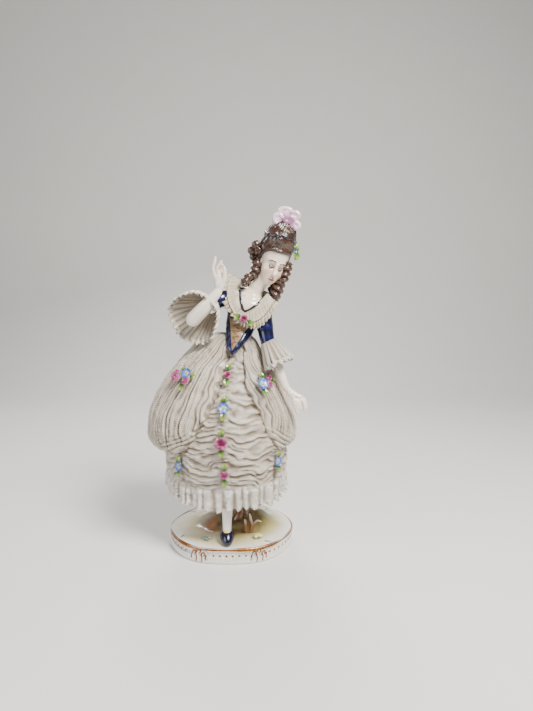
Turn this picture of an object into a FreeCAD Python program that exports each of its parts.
import FreeCAD, Part
import math
import os

# Porcelain lace figurine: a lady in a gathered lace gown on an oval plinth.
# Millimetres, +Z up, front towards -Y. The origin is the centre of the foot ring
# on the plane that the plinth stands on. Every sub-part is one STEP in parts/.

V = FreeCAD.Vector
UP = V(0, 0, 1)

# ---- driving dimensions ----------------------------------------------------
PLINTH_HALF_X = 46.5
PLINTH_HALF_Y = 40.0
PLINTH_HEIGHT = 11.5
FOOT_RING_WIDTH = 6.0
FOOT_RECESS = 2.5
GROUND_TOP = 20.0
STUMP_RADIUS = 10.0
HEM_Z = 40.0
RUFFLE_TOP_Z = 54.0
FLOOR_Z = 50.0
FLOOR_THICK = 3.0
CORE_WALL = 3.0
NET_THICK = 2.6
COLLAR_THICK = 1.5
VENT_RADIUS = 1.5
CHEST = V(13.5, -2.0, 181.0)
NECK_ROOT = V(16.5, -1.0, 189.0)
HEAD_CENTRE = V(31.5, -4.0, 210.0)
HEAD_LEAN = 16.0
HEAD_TURN = 20.0
HEAD_NOD = 12.0
FLOUNCE_WALL = 1.2
LEAF_THICK = 0.9

# Gown sections, each (height, centre x, half width, half depth).
PETTICOAT = [
    (46.0, -3.0, 41.0, 35.5),
    (54.0, -3.0, 43.5, 37.5),
    (64.0, -3.2, 45.5, 39.0),
    (78.0, -3.5, 45.5, 40.0),
    (92.0, -3.8, 42.5, 39.5),
    (106.0, -3.0, 37.5, 36.0),
    (120.0, -1.0, 31.0, 30.5),
    (134.0, 1.5, 22.5, 23.0),
    (147.0, 3.0, 13.5, 14.5),
    (157.0, 4.2, 8.8, 8.6),
]
OVERSKIRT = [
    (74.0, -5.0, 44.5, 39.0),
    (78.0, -5.8, 51.0, 44.5),
    (83.0, -6.0, 54.5, 46.8),
    (90.0, -6.2, 55.0, 47.0),
    (99.0, -6.3, 54.5, 47.0),
    (112.0, -7.0, 50.0, 43.5),
    (123.0, -6.8, 44.5, 39.0),
    (135.0, -6.0, 36.5, 31.5),
    (150.0, -3.2, 25.5, 20.0),
    (156.0, -1.8, 20.5, 16.0),
    (159.5, 0.0, 15.5, 12.5),
    (162.0, 2.2, 10.5, 9.0),
    (163.5, 3.8, 8.0, 7.5),
]
# Front opening of the overskirt, seen from the front (x, z).
OPENING_OUTLINE = [
    (4.5, 168.0), (-3.5, 143.0), (-13.0, 120.0), (-18.5, 105.0), (-27.0, 90.0),
    (-36.0, 70.0), (38.0, 70.0), (36.0, 84.0), (29.0, 98.0), (19.0, 118.0), (14.0, 140.0),
]
BACK_PANEL_HALF_ANGLE = 42.0


# ---- shape helpers ---------------------------------------------------------
def closed_wire(points):
    """A smooth closed wire through the points."""
    curve = Part.BSplineCurve()
    curve.interpolate(Points=points, PeriodicFlag=True)
    return Part.Wire([curve.toShape()])


def ring_points(centre, half_x, half_y, normal=UP, count=16, wave=0.0, waves=0):
    """Points of an ellipse facing normal; its first half axis lies in the x-z plane."""
    normal = V(normal).normalize()
    depth = normal.cross(V(1, 0, 0))
    if depth.Length < 0.2:
        depth = normal.cross(V(0, 1, 0))
    depth.normalize()
    across = depth.cross(normal)
    points = []
    for i in range(count):
        a = 2 * math.pi * i / count
        grow = 1.0 + wave * math.cos(waves * a)
        side = across * (half_x * grow * math.cos(a))
        points.append(centre + side + depth * (half_y * grow * math.sin(a)))
    return points


def ring(centre, half_x, half_y, normal=UP, count=16, wave=0.0, waves=0):
    return closed_wire(ring_points(centre, half_x, half_y, normal, count, wave, waves))


def lofted(wires, ruled=False):
    return Part.makeLoft(wires, True, ruled)


def band(rings):
    """A closed ring-shaped wall: ruled faces join each wire to the next and the last to the first."""
    faces = []
    for i, wire in enumerate(rings):
        faces += Part.makeRuledSurface(wire, rings[(i + 1) % len(rings)]).Faces
    solid = Part.makeSolid(Part.makeShell(faces))
    if solid.Volume < 0:
        solid.reverse()
    return solid


def gown(sections, inset=0.0):
    """A loft through gown sections, made smaller all round by inset."""
    return lofted([
        ring(V(x, 0, z), half_x - inset, half_y - inset, count=24)
        for z, x, half_x, half_y in sections
    ])


def section_at(sections, z):
    """Centre x, half width and half depth of a gown at a height."""
    for low, high in zip(sections, sections[1:]):
        if z <= high[0]:
            t = (z - low[0]) / (high[0] - low[0])
            return [a + (b - a) * t for a, b in zip(low[1:], high[1:])]
    return list(sections[-1][1:])


def gown_spot(sections, angle, z):
    """A gown's surface point and outward normal, at an angle from the front towards +X."""
    def at(a, height):
        x, half_x, half_y = section_at(sections, height)
        return V(x + half_x * math.sin(a), -half_y * math.cos(a), height)
    a = math.radians(angle)
    point = at(a, z)
    normal = (at(a + 0.02, z) - point).cross(at(a, z + 1.0) - point)
    return point, normal.normalize()


def limb(points, radii, flat=1.0):
    """A limb with domed ends: circles across a path, lofted, closing in at both ends."""
    before_start = (points[0] - points[1]).normalize() * radii[0]
    past_end = (points[-1] - points[-2]).normalize() * radii[-1]
    centres = [points[0] + before_start * 0.75, points[0] + before_start * 0.45, *points]
    centres += [points[-1] + past_end * 0.45, points[-1] + past_end * 0.75]
    sizes = [radii[0] * 0.4, radii[0] * 0.82, *radii, radii[-1] * 0.82, radii[-1] * 0.4]
    wires = []
    for i, centre in enumerate(centres):
        before = centres[max(i - 1, 0)]
        after = centres[min(i + 1, len(centres) - 1)]
        wires.append(ring(centre, sizes[i], sizes[i] * flat, after - before, count=10))
    return lofted(wires)


def ellipsoid(centre, half_x, half_y, half_z, lean=None):
    matrix = FreeCAD.Matrix()
    matrix.scale(half_x, half_y, half_z)
    shape = Part.makeSphere(1.0).transformGeometry(matrix)
    if lean:
        shape.Placement = FreeCAD.Placement(V(0, 0, 0), lean)
    shape.translate(centre)
    return shape


def facing(shape, spot, normal, spin=0.0):
    """Turns a shape made on the z = 0 plane so that +Z points along normal, and moves it to spot."""
    turn = FreeCAD.Rotation(UP, V(normal)).multiply(FreeCAD.Rotation(UP, spin))
    moved = shape.copy()
    moved.Placement = FreeCAD.Placement(spot, turn)
    return moved


def fused(shapes):
    whole = shapes[0]
    for shape in shapes[1:]:
        whole = whole.fuse(shape)
    return whole


def largest(shape):
    return max(shape.Solids, key=lambda solid: solid.Volume)


# ---- flowers and leaves ----------------------------------------------------
def rose(radius):
    """A tight bloom: a round heart with five outer petals, flat underneath."""
    out = radius * 0.55
    heart = Part.makeSphere(radius * 0.62, V(0, 0, radius * 0.45))
    petals = [
        Part.makeSphere(radius * 0.48, V(out * math.cos(a), out * math.sin(a), radius * 0.3))
        for a in (2 * math.pi * i / 5 for i in range(5))
    ]
    above = Part.makeBox(4 * radius, 4 * radius, 2 * radius, V(-2 * radius, -2 * radius, 0))
    return fused([heart] + petals).common(above)


def open_flower(radius):
    """Five round petals about a raised eye."""
    out = radius * 0.54
    petals = [
        Part.makeCylinder(radius * 0.46, 1.1, V(out * math.cos(a), out * math.sin(a), 0))
        for a in (2 * math.pi * i / 5 for i in range(5))
    ]
    eye = Part.makeCylinder(radius * 0.3, 1.8)
    return fused(petals + [eye])


def leaf(length, width):
    """A pointed leaf, the overlap of two discs, lying along +X from the origin."""
    half = length / 2
    disc = (half * half + width * width / 4) / width
    low = Part.makeCylinder(disc, LEAF_THICK, V(half, disc - width / 2, 0))
    high = Part.makeCylinder(disc, LEAF_THICK, V(half, width / 2 - disc, 0))
    return low.common(high)


def on_gown(shape, sections, angle, z, spin=0.0, sink=0.2):
    spot, normal = gown_spot(sections, angle, z)
    return facing(shape, spot - normal * sink, normal, spin)


# ---- plinth and ground -----------------------------------------------------
def plinth_ring(z, inset):
    """The plinth's outline: an oval, a little fuller at its shoulders, with shallow lobes."""
    points = []
    for i in range(48):
        a = 2 * math.pi * i / 48
        lobe = 1.0 + 0.012 * math.cos(6 * a)
        full = 1.0 + 0.018 * math.sin(2 * a) ** 2
        points.append(V(
            (PLINTH_HALF_X - inset) * lobe * full * math.cos(a),
            (PLINTH_HALF_Y - inset) * lobe * full * math.sin(a), z))
    return closed_wire(points)


def make_base():
    levels = [(0.0, 0.9), (1.2, 0.0), (4.0, 0.6), (8.4, 1.3), (10.2, 0.5), (PLINTH_HEIGHT, 0.3)]
    body = lofted([plinth_ring(z, inset) for z, inset in levels])
    recess = lofted([plinth_ring(-1.0, FOOT_RING_WIDTH), plinth_ring(FOOT_RECESS, FOOT_RING_WIDTH + 1.5)])
    return body.cut(recess)


def make_ground():
    """The modelled ground: low at the front, rising behind the figure."""
    levels = [
        (PLINTH_HEIGHT, 0, 6, 40.0, 31.0), (PLINTH_HEIGHT + 2.0, 2, 9, 35.0, 26.5),
        (PLINTH_HEIGHT + 5.0, 4, 12, 28.0, 20.0), (GROUND_TOP, 5, 13, 19.0, 13.0),
    ]
    return lofted([ring(V(x, y, z), half_x, half_y) for z, x, y, half_x, half_y in levels])


def make_stump():
    """The tree stump that carries the gown, from the plinth up to the floor of the skirt."""
    levels = [
        (PLINTH_HEIGHT, 1.35), (PLINTH_HEIGHT + 6, 1.05), (28.0, 0.92), (40.0, 0.95), (FLOOR_Z, 1.08),
    ]
    return lofted([
        ring(V(4, 6, z), STUMP_RADIUS * k, STUMP_RADIUS * k, count=20, wave=0.05, waves=5)
        for z, k in levels
    ])


# ---- leg -------------------------------------------------------------------
ANKLE = V(-1.5, -27.0, 22.0)


def make_leg():
    return limb([ANKLE + V(0.4, 4.0, 28.0), ANKLE + V(0.2, 1.5, 12.0), ANKLE, ANKLE + V(0, -0.8, -3.5)],
                [4.4, 3.7, 3.2, 3.3])


def make_shoe():
    upper = limb([V(-1.5, -25.5, 14.8), V(-1.4, -29.0, 14.9), V(-1.0, -33.5, 14.0), V(-0.6, -36.6, 13.3)],
                 [3.3, 3.9, 2.9, 1.6])
    sole = Part.makeBox(30, 30, 10, V(-15, -45, PLINTH_HEIGHT - 10))
    return upper.cut(sole)


def make_shoe_bow():
    return ellipsoid(V(-1.3, -31.6, 18.3), 2.7, 1.7, 1.5)


# ---- body ------------------------------------------------------------------
def bodice_rings(grow=0.0):
    """Sections of the bodice: (centre, half width, half depth, tilt of the section's normal)."""
    levels = [
        (V(2.8, -18.6, 147.5), 1.0, 0.9, V(0.05, -0.25, 1)),
        (V(3.4, -16.7, 151.0), 4.0, 2.6, V(0.05, -0.25, 1)),
        (V(4.9, -12.5, 155.5), 6.5, 5.1, V(0.1, -0.2, 1)),
        (V(6.6, -7.2, 160.5), 9.1, 8.0, V(0.2, -0.1, 1)),
        (V(8.0, -4.0, 166.0), 10.6, 8.8, V(0.3, 0, 1)),
        (V(10.4, -3.2, 173.0), 12.5, 9.7, V(0.4, 0, 1)),
        (CHEST, 15.0, 10.2, V(0.45, 0.05, 1)),
    ]
    return [ring(c, rx + grow, ry + grow, n) for c, rx, ry, n in levels]


def make_bodice():
    return lofted(bodice_rings())


def make_bust():
    """Bare shoulders, chest and neck, above the bodice."""
    levels = [
        (CHEST, 15.0, 10.2, V(0.45, 0.05, 1)),
        (V(15.0, -1.8, 185.5), 14.8, 8.4, V(0.45, 0.05, 1)),
        (NECK_ROOT + V(0.5, 0, 1.0), 8.6, 6.2, V(0.5, -0.1, 1)),
        (NECK_ROOT + V(3.0, -0.4, 5.0), 5.0, 4.8, V(0.6, -0.1, 1)),
        (NECK_ROOT + V(7.2, -1.2, 10.5), 4.5, 4.6, V(0.6, -0.15, 1)),
        (NECK_ROOT + V(11.0, -2.0, 15.0), 4.8, 5.0, V(0.5, -0.15, 1)),
    ]
    return lofted([ring(c, rx, ry, n) for c, rx, ry, n in levels])


def make_stomacher(bodice):
    """The laced front panel, a thin skin on the bodice."""
    outline = [V(1.2, -40, 172.5), V(13.8, -40, 167.0), V(2.8, -40, 150.0)]
    panel = Part.Face(Part.makePolygon(outline + [outline[0]])).extrude(V(0, 36, 0))
    return largest(lofted(bodice_rings(0.8)).common(panel).cut(bodice))


HEAD_TURNED = (
    FreeCAD.Rotation(V(0, 1, 0), HEAD_LEAN)
    .multiply(FreeCAD.Rotation(UP, HEAD_TURN))
    .multiply(FreeCAD.Rotation(V(1, 0, 0), HEAD_NOD))
)


def head_point(x, y, z):
    """A point given in the head's own frame: x to the figure's left, -y out of the face, z up."""
    return HEAD_CENTRE + HEAD_TURNED.multVec(V(x, y, z))


def make_head(bust):
    skull = ellipsoid(head_point(0, 1.0, 4.0), 9.8, 10.4, 11.0, HEAD_TURNED)
    face = ellipsoid(head_point(0, -3.0, -2.4), 8.0, 7.2, 11.8, HEAD_TURNED)
    nose = ellipsoid(head_point(0, -9.8, -1.6), 1.5, 2.1, 3.0, HEAD_TURNED)
    return fused([skull, face, nose]).cut(bust)


def make_pouf(head):
    """The high dressed hair, a cone of rolls over the head."""
    levels = [
        (-6.0, 8.5, 7.4, 5.0), (-1.0, 11.4, 9.2, 4.5), (5.0, 12.2, 10.2, 3.6), (11.0, 12.4, 11.2, 2.0),
        (17.0, 12.0, 11.0, 1.8), (23.0, 10.8, 10.0, 2.6), (28.0, 8.4, 8.0, 3.6), (31.5, 4.4, 4.4, 4.1),
    ]
    up = HEAD_TURNED.multVec(V(0, 0.0, 1))
    hair = lofted([ring(head_point(0, y, z), rx, ry, up) for z, rx, ry, y in levels])
    face_cut = ellipsoid(head_point(0, -11.5, -2.5), 8.6, 9.5, 14.6, HEAD_TURNED)
    return hair.cut(face_cut).cut(head)


def ringlet(start, end, radius, turns=4):
    """A hanging ringlet: a soft column with a swell for each turn."""
    points, radii = [], []
    steps = turns * 2
    for i in range(steps + 1):
        t = i / steps
        points.append(start + (end - start) * t)
        radii.append(radius * (1.0 if i % 2 else 0.78) * (1.0 - 0.25 * t))
    return limb(points, radii)


RINGLETS = {
    "ringlet_right_front": (V(43.2, -4.8, 212.0), V(37.8, -4.5, 196.5), 4.0),
    "ringlet_right_middle": (V(37.0, -3.0, 200.0), V(31.6, -3.4, 184.5), 4.0),
    "ringlet_right_back": (V(38.0, 5.5, 205.0), V(30.0, 5.0, 188.0), 3.6),
    "ringlet_left_front": (V(20.2, -4.6, 214.0), V(17.4, -5.0, 200.0), 3.5),
    "ringlet_left_shoulder": (V(16.0, -6.3, 202.5), V(10.4, -8.6, 195.5), 3.1),
    "ringlet_left_back": (V(20.0, 5.0, 208.0), V(13.5, 6.0, 193.0), 3.6),
    "ringlet_nape": (V(28.0, 10.0, 206.0), V(21.0, 9.5, 190.0), 3.6),
}


def make_side_roll():
    """The rolled curl over the temple."""
    return limb([V(19.5, -7.0, 223.0), V(17.0, -4.5, 219.5), V(17.2, -1.5, 215.5)], [3.3, 4.0, 3.2])


def make_plume():
    """Three curled feathers standing in the hair."""
    root = head_point(0, 2.0, 31.0)
    left = ellipsoid(root + V(-5.0, 0, 1.8), 4.6, 3.2, 4.9)
    middle = ellipsoid(root + V(1.2, 0.5, 6.4), 6.4, 3.4, 4.7)
    right = ellipsoid(root + V(7.4, 0, 1.2), 3.9, 3.0, 5.4)
    return fused([middle, left, right])


# ---- arms and sleeves ------------------------------------------------------
RAISED_ELBOW = V(-24.5, -18.0, 171.5)
RAISED_WRIST = V(-6.2, -23.0, 191.0)
LOWERED_ELBOW = V(28.5, -9.5, 154.0)
LOWERED_WRIST = V(41.0, -17.1, 122.8)


def make_raised_sleeve():
    return limb([V(3.5, 0.0, 188.0), V(-4.6, -2.8, 185.6), V(-12.8, -7.0, 181.0)], [6.2, 5.8, 5.2])


def make_raised_forearm():
    upper = limb([V(-16.0, -10.5, 179.0), RAISED_ELBOW + V(0.8, 0.6, 0.4)], [4.2, 4.6])
    forearm = limb([RAISED_ELBOW, V(-15.5, -21.5, 180.5), RAISED_WRIST], [5.2, 4.4, 2.6])
    below_wrist = RAISED_WRIST + V(-0.3, 0, -1.5)
    palm = limb([below_wrist, V(-4.6, -23.0, 196.5), V(-6.0, -23.0, 201.5)], [2.3, 3.3, 2.9], 0.62)
    fingers = [
        limb([V(-7.6, -23.1, 201.0), V(-9.4, -23.5, 206.5), V(-8.3, -24.0, 211.0), V(-7.6, -24.0, 214.6)],
             [1.15, 1.05, 0.95, 0.8]),
        limb([V(-6.0, -22.8, 201.5), V(-6.6, -23.9, 206.5), V(-4.6, -24.8, 209.6), V(-3.4, -25.2, 211.8)],
             [1.1, 1.05, 0.95, 0.8]),
        limb([V(-4.4, -22.6, 201.0), V(-3.9, -21.2, 205.0), V(-3.4, -21.6, 208.6)], [1.1, 1.0, 0.8]),
        limb([V(-2.6, -23.0, 198.0), V(-1.6, -24.5, 202.5), V(-1.4, -24.8, 207.2)], [1.3, 1.1, 0.85]),
    ]
    return fused([upper, forearm, palm] + fingers)


def make_lowered_sleeve():
    return limb([V(23.6, -2.5, 181.0), V(25.2, -5.0, 169.0), LOWERED_ELBOW + V(-0.4, 0.3, -0.4)],
                [7.0, 6.3, 5.0])


def make_lowered_forearm():
    below_elbow = LOWERED_ELBOW + V(0.5, -1.0, -6.0)
    arm = limb([below_elbow, V(34.0, -13.0, 140.0), V(37.2, -15.3, 131.5), LOWERED_WRIST],
               [3.5, 3.2, 2.8, 2.2])
    palm = limb([LOWERED_WRIST, V(44.6, -18.1, 119.0), V(50.4, -19.2, 116.4)], [2.2, 2.9, 2.5], 0.62)
    fingers = [
        limb([V(50.4, -18.8, 116.8), V(53.8, -19.3, 114.8), V(55.2, -19.5, 111.0), V(55.2, -19.5, 107.4)],
             [1.25, 1.15, 1.0, 0.8]),
        limb([V(49.4, -20.6, 115.4), V(51.6, -21.4, 112.4), V(52.6, -21.4, 108.2)], [1.2, 1.1, 0.8]),
        limb([V(45.8, -19.8, 117.2), V(47.2, -21.2, 112.4), V(49.2, -21.8, 106.0)], [1.3, 1.1, 0.8]),
    ]
    return fused([arm, palm] + fingers)


def flounce(throat, throat_radius, mouth, mouth_x, mouth_y, facing_to, swell=0.62):
    """A flared lace cuff: a thin wall from a narrow throat to a wide mouth."""
    middle = throat + (mouth - throat) * 0.5
    mid_x = throat_radius + (mouth_x - throat_radius) * swell
    mid_y = throat_radius + (mouth_y - throat_radius) * swell
    outer = [
        ring(throat, throat_radius, throat_radius, facing_to, 20),
        ring(middle, mid_x, mid_y, facing_to, 20),
        ring(mouth, mouth_x, mouth_y, facing_to, 20),
    ]
    inner = [
        ring(mouth, mouth_x - FLOUNCE_WALL, mouth_y - FLOUNCE_WALL, facing_to, 20),
        ring(middle, mid_x - FLOUNCE_WALL, mid_y - FLOUNCE_WALL, facing_to, 20),
        ring(throat, throat_radius - FLOUNCE_WALL, throat_radius - FLOUNCE_WALL, facing_to, 20),
    ]
    return band(outer + inner)


def make_raised_flounce():
    facing_to = V(-0.28, -0.93, -0.22)
    return flounce(V(-13.5, -8.0, 180.5), 6.6, V(-23.8, -17.5, 173.0), 18.0, 18.6, facing_to)


def make_lowered_cuff():
    facing_to = V(0.42, -0.16, -0.89)
    return flounce(V(28.3, -9.3, 155.5), 6.4, V(36.0, -15.0, 140.6), 12.8, 10.5, facing_to)


def make_collar(solids_below):
    """The deep lace collar: a band over the shoulders and the top of the bodice."""
    inner = [
        V(13.0, 6.0, 197.0), V(8.6, -1.5, 198.5), V(9.0, -8.5, 188.0), V(11.2, -13.2, 176.6),
        V(19.0, -11.5, 181.5), V(26.0, -7.0, 188.0), V(26.5, 0.0, 190.0), V(20.5, 6.5, 194.0),
    ]
    outer = [
        V(3.0, 9.5, 201.0), V(-2.6, 1.0, 201.0), V(-4.0, -8.5, 183.0), V(9.0, -15.8, 167.2),
        V(22.5, -15.0, 166.0), V(33.0, -8.5, 179.5), V(34.0, 3.0, 184.0), V(20.0, 12.0, 187.0),
    ]
    middle = V(14, -2, 172)

    def raised(points):
        return [p + (p - middle).normalize() * COLLAR_THICK for p in points]

    rings = [closed_wire(raised(inner)), closed_wire(raised(outer)), closed_wire(outer), closed_wire(inner)]
    collar = band(rings)
    for solid in solids_below:
        collar = collar.cut(solid)
    return largest(collar)


# ---- gown ------------------------------------------------------------------
def make_core(bodice):
    outer = gown(PETTICOAT, NET_THICK)
    inner = lofted([
        ring(V(x, 0, z), half_x - NET_THICK - CORE_WALL, half_y - NET_THICK - CORE_WALL, count=24)
        for z, x, half_x, half_y in [(45.0,) + PETTICOAT[0][1:]] + PETTICOAT[1:8]
    ])
    return outer.cut(inner).cut(bodice)


def make_floor(core, leg, stump):
    """The slab luted into the open end of the skirt, with its vent hole."""
    x, half_x, half_y = section_at(PETTICOAT, FLOOR_Z)
    inset = NET_THICK + CORE_WALL - 0.6
    slab = lofted([
        ring(V(x, 0, FLOOR_Z), half_x - inset, half_y - inset, count=24),
        ring(V(x, 0, FLOOR_Z + FLOOR_THICK), half_x - inset + 0.5, half_y - inset + 0.5, count=24),
    ])
    vent = Part.makeCylinder(VENT_RADIUS, 20, V(-22, 12, FLOOR_Z - 8))
    return slab.cut(core).cut(vent).cut(leg).cut(stump)


def make_petticoat(core, bodice):
    return gown(PETTICOAT).cut(core).cut(gown(PETTICOAT, NET_THICK + 0.01)).cut(bodice)


def make_hem_ruffle():
    """The pleated ruffle under the petticoat's hem."""
    x, half_x, half_y = section_at(PETTICOAT, RUFFLE_TOP_Z)
    low_x, low_y = half_x + 1.2, half_y + 1.0
    top_x, top_y = half_x - 1.4, half_y - 1.2
    wall = 1.6

    def loop(z, rx, ry, wave):
        return ring(V(x, 0, z), rx, ry, count=96, wave=wave, waves=24)
    return band([
        loop(46.0, top_x, top_y, 0.0), loop(HEM_Z, low_x, low_y, 0.03),
        loop(HEM_Z, low_x - wall, low_y - wall, 0.03), loop(46.0, top_x - wall, top_y - wall, 0.0),
    ])


def make_overskirt(petticoat_outer, bodice):
    """The looped-up overskirt in three pieces: left, right and back."""
    whole = gown(OVERSKIRT).cut(petticoat_outer).cut(bodice)
    outline = [V(x, -70, z) for x, z in OPENING_OUTLINE]
    opening = Part.Face(Part.makePolygon(outline + [outline[0]])).extrude(V(0, 70, 0))
    whole = whole.cut(opening)
    reach = 90.0
    axis_x = -4.0
    spread = reach * math.tan(math.radians(BACK_PANEL_HALF_ANGLE))
    corners = [V(axis_x, 0, 60), V(axis_x + spread, reach, 60), V(axis_x - spread, reach, 60)]
    wedge = Part.Face(Part.makePolygon(corners + [corners[0]])).extrude(V(0, 0, 120))
    left_half = Part.makeBox(100, 200, 120, V(axis_x - 100, -100, 60))
    back = whole.common(wedge)
    sides = whole.cut(wedge)
    return {
        "overskirt_left": sides.common(left_half),
        "overskirt_right": sides.cut(left_half),
        "overskirt_back": back,
    }


# ---- applied flowers -------------------------------------------------------
def posies():
    """The two bunches on the overskirt."""
    return {
        "posy_left_roses": [
            on_gown(rose(2.9), OVERSKIRT, -49.0, 132.0), on_gown(rose(2.1), OVERSKIRT, -30.0, 129.0),
        ],
        "posy_left_blue_flower": [on_gown(open_flower(2.9), OVERSKIRT, -37.5, 132.5)],
        "posy_left_leaves": [
            on_gown(leaf(3.6, 2.4), OVERSKIRT, -23.5, 131.0, 20),
            on_gown(leaf(4.0, 2.4), OVERSKIRT, -36.0, 125.0, -75),
        ],
        "posy_right_roses": [
            on_gown(rose(1.9), OVERSKIRT, 55.5, 129.5), on_gown(rose(1.9), OVERSKIRT, 53.5, 125.0),
        ],
        "posy_right_blue_flower": [on_gown(open_flower(3.6), OVERSKIRT, 43.0, 126.5)],
        "posy_right_leaves": [
            on_gown(leaf(3.4, 2.2), OVERSKIRT, 46.5, 132.6, 100),
            on_gown(leaf(3.8, 2.4), OVERSKIRT, 41.5, 120.6, -80),
            on_gown(leaf(3.2, 2.0), OVERSKIRT, 61.0, 127.5, 0),
        ],
    }


def garland():
    """The blooms down the front of the petticoat and one at each side, with leaves above and below."""
    down_front = [(-3.5, 132.5, 4.6), (0.0, 111.5, 5.6), (0.0, 89.0, 6.4), (1.5, 67.0, 5.4)]
    at_sides = [(-41.0, 69.5), (53.5, 71.0)]
    return {
        "garland_bud": [on_gown(rose(2.2), PETTICOAT, -3.5, 132.5)],
        "garland_blue_flower": [on_gown(open_flower(3.3), PETTICOAT, 0.0, 111.5)],
        "garland_rose": [on_gown(rose(3.7), PETTICOAT, 0.0, 89.0)],
        "garland_small_rose": [on_gown(rose(2.5), PETTICOAT, 1.5, 67.0)],
        "garland_leaves": [
            on_gown(leaf(3.8, 3.0), PETTICOAT, angle, z + side * gap, side * 90)
            for angle, z, gap in down_front for side in (1, -1)
        ],
        "side_flower_left": [on_gown(open_flower(2.9), PETTICOAT, *at_sides[0])],
        "side_flower_right": [on_gown(open_flower(2.9), PETTICOAT, *at_sides[1])],
        "side_leaves": [
            on_gown(leaf(3.6, 2.6), PETTICOAT, angle, z + side * 5.4, side * 90)
            for angle, z in at_sides for side in (1, -1)
        ],
    }


def corsage():
    """The rose and its leaves at the point of the collar."""
    front = V(0.05, -0.95, -0.3)
    spot = V(10.8, -16.6, 172.2)
    return {
        "corsage_rose": [facing(rose(2.3), spot, front)],
        "corsage_leaves": [
            facing(leaf(4.4, 2.6), spot + V(-1.8, 0.2, 0.9), front, 155),
            facing(leaf(4.2, 2.5), spot + V(1.8, 0.4, -0.9), front, -35),
        ],
    }


def hair_and_ground_flowers():
    temple = V(46.8, -4.0, 218.5)
    outward = V(0.9, -0.35, 0.1)
    return {
        "hair_flower": [facing(open_flower(2.4), temple, outward)],
        "hair_leaves": [
            facing(leaf(4.6, 2.4), temple + V(-0.2, 0, 2.0), outward, 90),
            facing(leaf(4.6, 2.4), temple + V(-0.4, 0, -2.0), outward, -90),
        ],
        "ground_flowers": [
            facing(open_flower(2.6), V(-17.0, -25.0, PLINTH_HEIGHT), UP),
            facing(rose(3.0), V(20.5, -23.0, PLINTH_HEIGHT), UP),
        ],
    }


def seated(group, beds):
    """Cuts every shape of a group where it would sink into what carries it."""
    cut_group = {}
    for name, shapes in group.items():
        for bed in beds:
            shapes = [largest(shape.cut(bed)) for shape in shapes]
        cut_group[name] = shapes
    return cut_group


# ---- whole figure ----------------------------------------------------------
def build_foot(nodes):
    """Plinth, ground, stump, leg and shoe."""
    stump = make_stump()
    leg = make_leg()
    shoe = make_shoe()
    above_floor = Part.makeBox(30, 30, 30, V(-15, -45, FLOOR_Z))
    nodes["base"] = make_base()
    nodes["tree_stump"] = stump
    nodes["ground_mound"] = make_ground().cut(stump)
    nodes["front_leg"] = leg.cut(above_floor)
    nodes["front_shoe"] = shoe.cut(leg)
    nodes["shoe_bow"] = largest(make_shoe_bow().cut(shoe).cut(leg))


def build_body(nodes):
    """Bodice, bust, head and dressed hair."""
    bodice = make_bodice()
    bust = make_bust().cut(bodice)
    head = make_head(bust)
    pouf = make_pouf(head)
    nodes["bodice"] = bodice
    nodes["bust"] = bust
    nodes["stomacher"] = make_stomacher(bodice)
    nodes["head"] = head
    nodes["hair_pouf"] = pouf
    taken = head.fuse(pouf).fuse(bust)
    for name, (start, end, radius) in RINGLETS.items():
        nodes[name] = largest(ringlet(start, end, radius).cut(taken))
        taken = taken.fuse(nodes[name])
    nodes["side_roll"] = make_side_roll().cut(taken)
    nodes["plume"] = make_plume().cut(pouf)


def build_arms(nodes):
    """Sleeves, forearms, lace cuffs and the collar."""
    trunk = [nodes["bodice"], nodes["bust"]]
    raised_sleeve = make_raised_sleeve().cut(trunk)
    lowered_sleeve = make_lowered_sleeve().cut(trunk)
    nodes["raised_sleeve"] = raised_sleeve
    nodes["lowered_sleeve"] = lowered_sleeve
    nodes["raised_forearm"] = make_raised_forearm().cut(raised_sleeve)
    nodes["lowered_forearm"] = make_lowered_forearm().cut(lowered_sleeve)
    nodes["raised_flounce"] = make_raised_flounce().cut(raised_sleeve)
    nodes["lowered_cuff"] = make_lowered_cuff().cut(lowered_sleeve)
    nodes["collar"] = make_collar(trunk + [raised_sleeve, lowered_sleeve])


def build_gown(nodes):
    """The hollow skirt with its floor, the petticoat, its ruffle and the overskirt."""
    bodice = nodes["bodice"]
    core = make_core(bodice)
    nodes["skirt_core"] = core
    nodes["skirt_floor"] = make_floor(core, nodes["front_leg"], nodes["tree_stump"])
    nodes["petticoat"] = make_petticoat(core, bodice)
    nodes["hem_ruffle"] = make_hem_ruffle().cut(core).cut(nodes["petticoat"])
    nodes.update(make_overskirt(gown(PETTICOAT), bodice))


def build():
    nodes = {}
    build_foot(nodes)
    build_body(nodes)
    build_arms(nodes)
    build_gown(nodes)
    nodes.update(seated(posies(), [nodes["overskirt_left"], nodes["overskirt_right"]]))
    nodes.update(seated(garland(), [nodes["petticoat"]]))
    nodes.update(seated(corsage(), [nodes["collar"], nodes["stomacher"], nodes["bodice"]]))
    nodes.update(seated(hair_and_ground_flowers(), [nodes["hair_pouf"], nodes["ground_mound"]]))
    return nodes


def export(nodes):
    os.makedirs("parts", exist_ok=True)
    for name, made in sorted(nodes.items()):
        shape = Part.makeCompound(made) if isinstance(made, list) else made
        volumes = ", ".join(f"{s.Volume:.0f}" for s in shape.Solids)
        print(f"{name}: {len(shape.Solids)} solid(s) of {volumes} mm3, valid {shape.isValid()}")
        Part.makeCompound(shape.Solids).exportStep(f"parts/{name}.step")


export(build())
